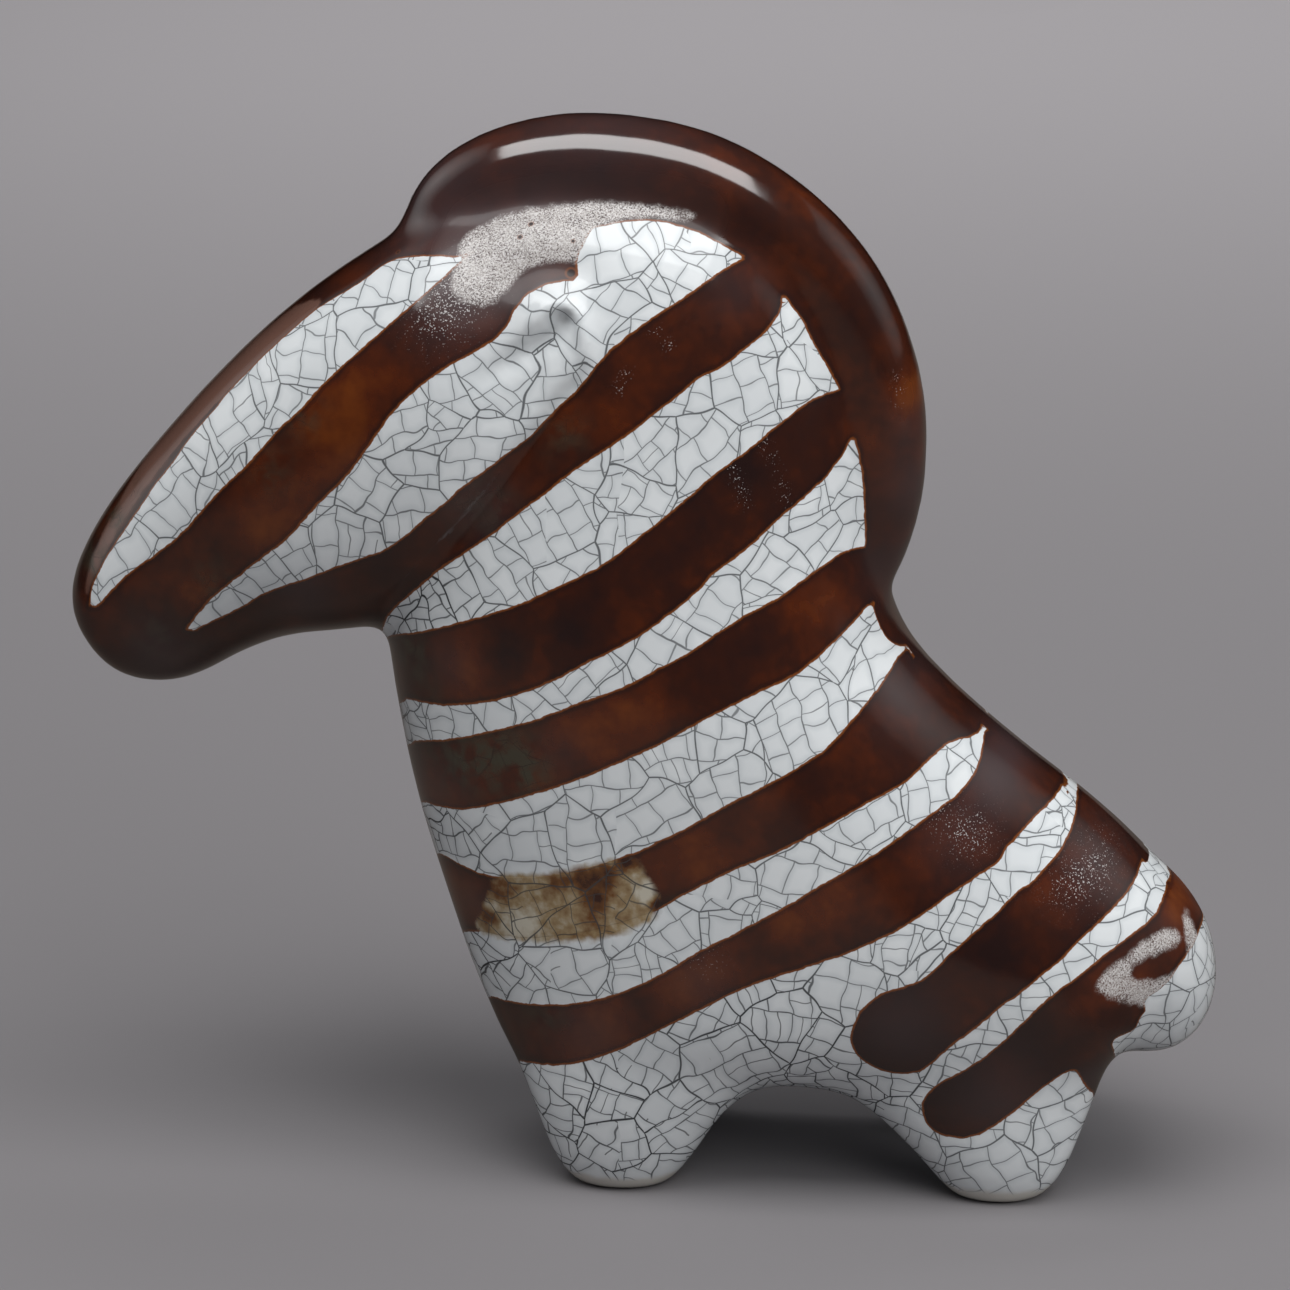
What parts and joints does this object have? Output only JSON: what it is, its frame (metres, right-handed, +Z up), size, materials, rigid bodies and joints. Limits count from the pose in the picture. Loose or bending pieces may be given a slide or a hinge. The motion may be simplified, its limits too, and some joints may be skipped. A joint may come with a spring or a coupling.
{
  "type": "zebra figurine",
  "caption": "Stylised standing zebra in glazed ceramic, with a long drooping head, a rolled mane, short legs, brown stripes and crackled white glaze.",
  "frame": {"origin": "on the floor, under the middle of the figure's box", "axes": "+Z up, the animal faces -X, +Y is its left-to-right direction across the body"},
  "size_m": [0.1622, 0.0518, 0.1498],
  "materials": {
    "crackled_glaze": "glossy bluish white glaze with grey crackle, and stripes of glossy dark brown glaze"
  },
  "bodies": {
    "root": {"zebra_figurine": "crackled_glaze"}
  },
  "joints": []
}
